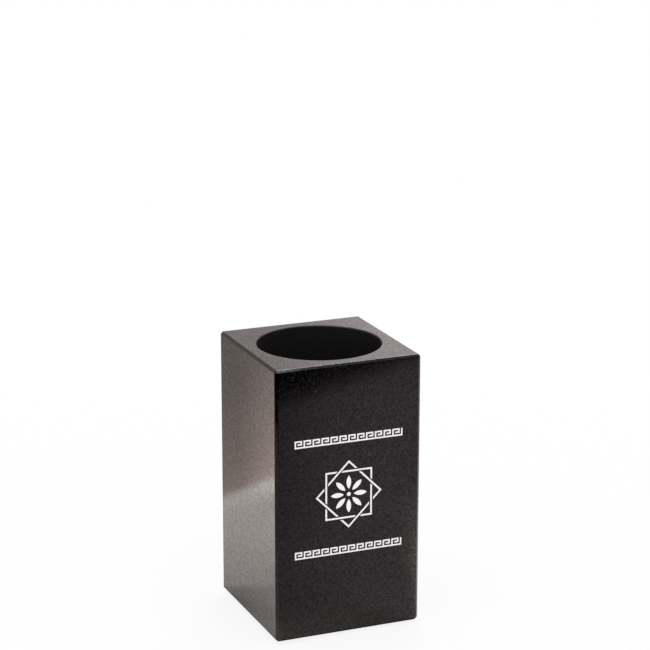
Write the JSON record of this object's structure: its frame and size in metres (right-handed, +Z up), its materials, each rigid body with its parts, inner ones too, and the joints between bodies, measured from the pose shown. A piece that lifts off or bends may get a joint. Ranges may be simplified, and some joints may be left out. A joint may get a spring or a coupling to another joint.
{
  "type": "pen cup",
  "caption": "Square black stone pen cup: an upright chamfered block with a deep round bore open at the top, standing on felt pads.",
  "frame": {"origin": "centre of the plane that the felt pads rest on, under the middle of the block", "axes": "+Z up along the bore, -Y out of the front face that carries the engraving, +X to the right seen from the front"},
  "size_m": [0.055, 0.055, 0.101],
  "materials": {
    "polished_black_stone": "polished",
    "black_felt": "matte"
  },
  "bodies": {
    "root": {"stone_block": "polished_black_stone", "felt_pad_front_left": "black_felt", "felt_pad_front_right": "black_felt", "felt_pad_rear_left": "black_felt", "felt_pad_rear_right": "black_felt"}
  },
  "joints": []
}
